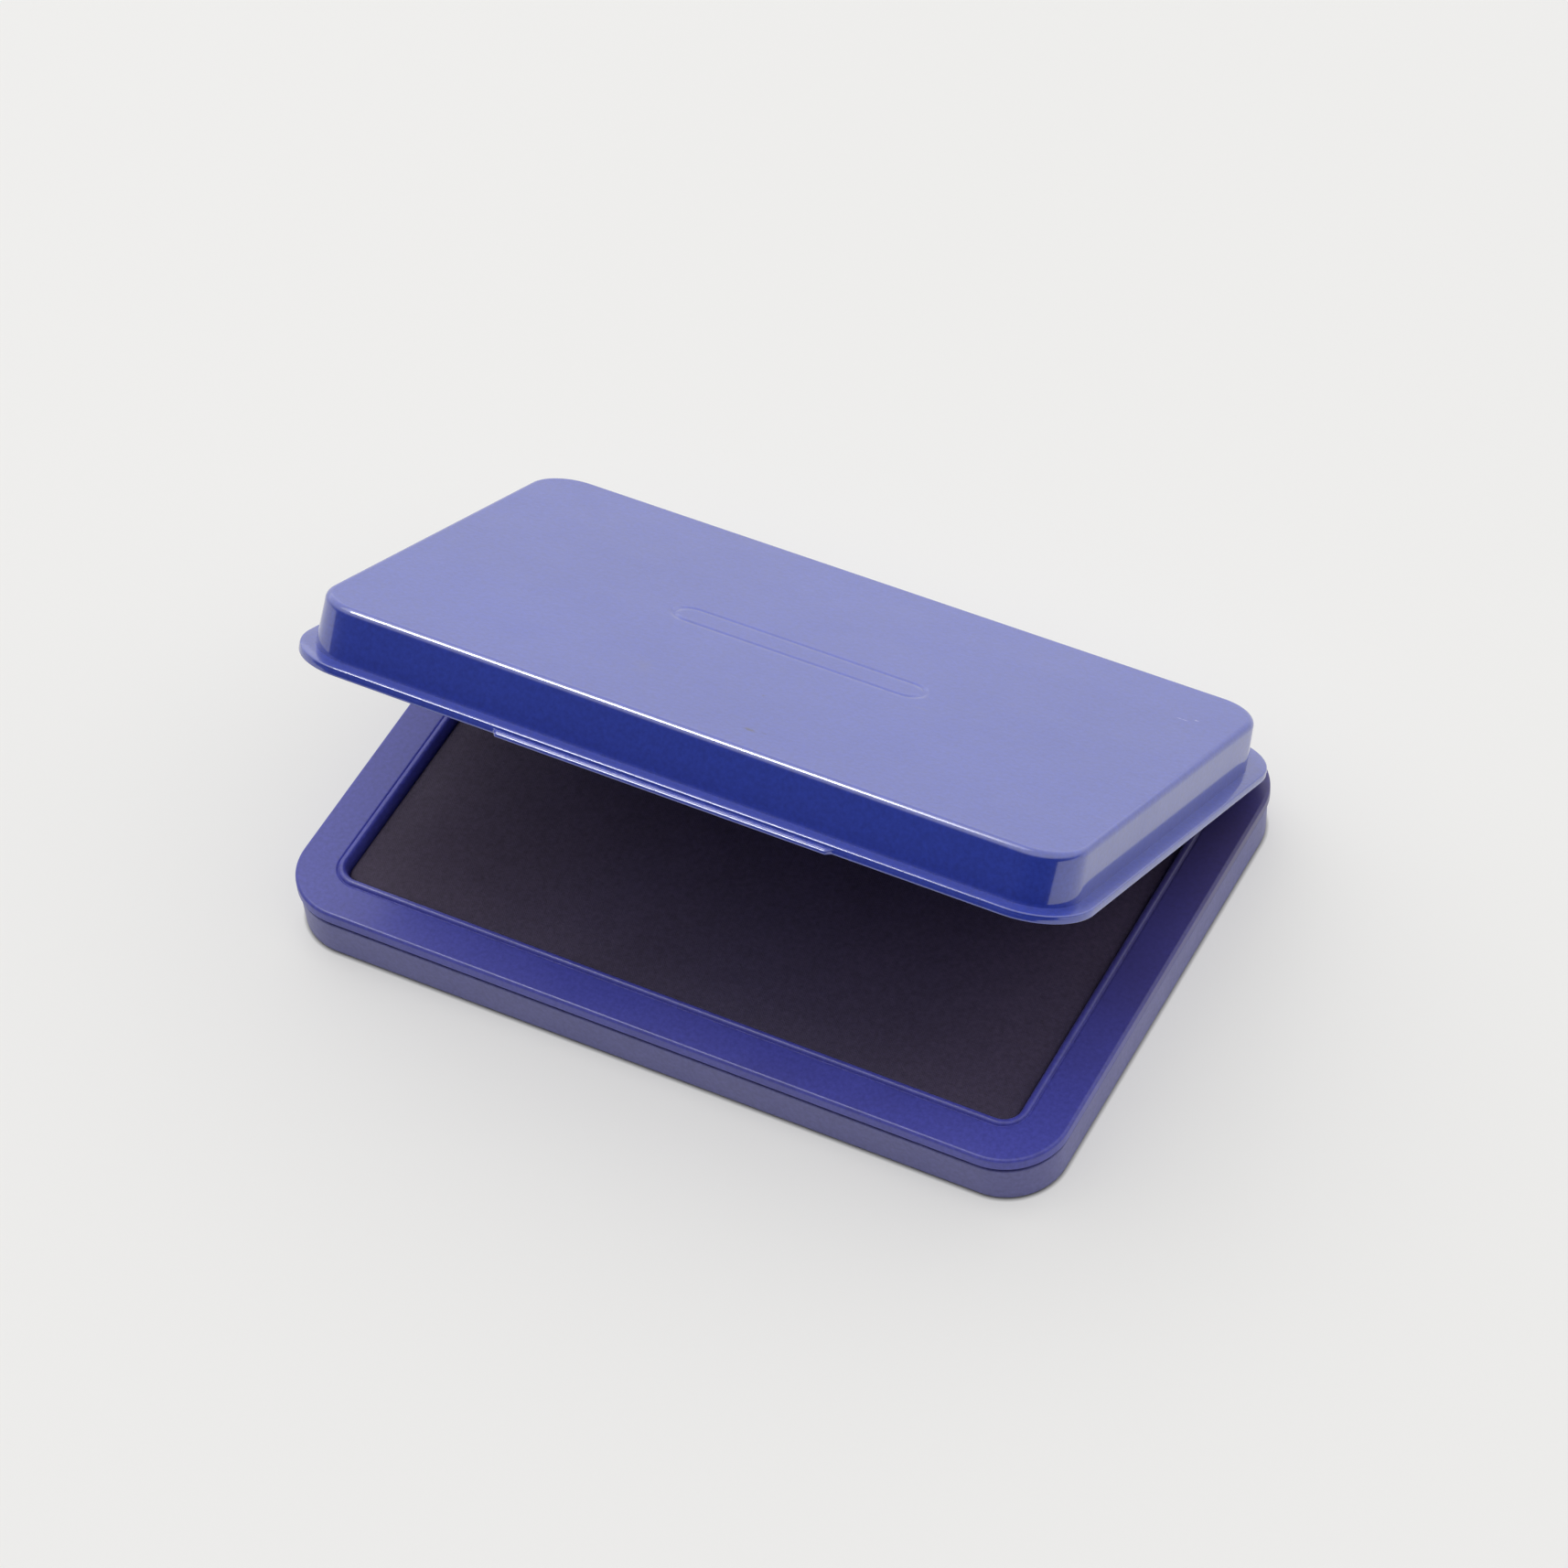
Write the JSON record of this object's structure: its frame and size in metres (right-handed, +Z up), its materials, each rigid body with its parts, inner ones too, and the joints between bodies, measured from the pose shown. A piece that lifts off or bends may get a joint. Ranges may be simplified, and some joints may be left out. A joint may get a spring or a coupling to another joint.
{
  "type": "ink pad",
  "caption": "Hinged metal ink pad for rubber stamps: flat rectangular case with an ink-soaked cloth pad in a raised frame and a pressed lid with a thumb tab.",
  "frame": {"origin": "centre of the tray's flat underside, on the surface the pad rests on", "axes": "+Z up, +X along the case's long side to the user's right, -Y towards the front edge with the thumb tab, +Y towards the hinges"},
  "size_m": [0.122, 0.0848, 0.0556],
  "materials": {
    "lid_paint": "satin",
    "frame_paint": "satin",
    "tray_paint": "satin",
    "hinge_paint": "satin",
    "pin_steel": "satin",
    "pad_fabric": "matte",
    "ink_felt": "matte",
    "carrier_plastic": "matte"
  },
  "bodies": {
    "base": {"base_tray": "tray_paint", "pad_frame": "frame_paint", "pad_carrier": "carrier_plastic", "ink_felt_core": "ink_felt", "top_felt": "ink_felt", "pad_cloth": "pad_fabric", "base_hinge_leaf_left": "hinge_paint", "base_hinge_leaf_right": "hinge_paint", "hinge_pin_left": "pin_steel", "hinge_pin_right": "pin_steel"},
    "lid": {"lid_shell": "lid_paint", "lid_hinge_leaf_left": "hinge_paint", "lid_hinge_leaf_right": "hinge_paint"}
  },
  "joints": [
    {"name": "lid_hinge", "type": "hinge", "parent": "base", "child": "lid", "pos_m": [0, 0.0416, 0.0109], "axis": [-1, 0, 0], "range_deg": [-28.7, 151.3]}
  ]
}
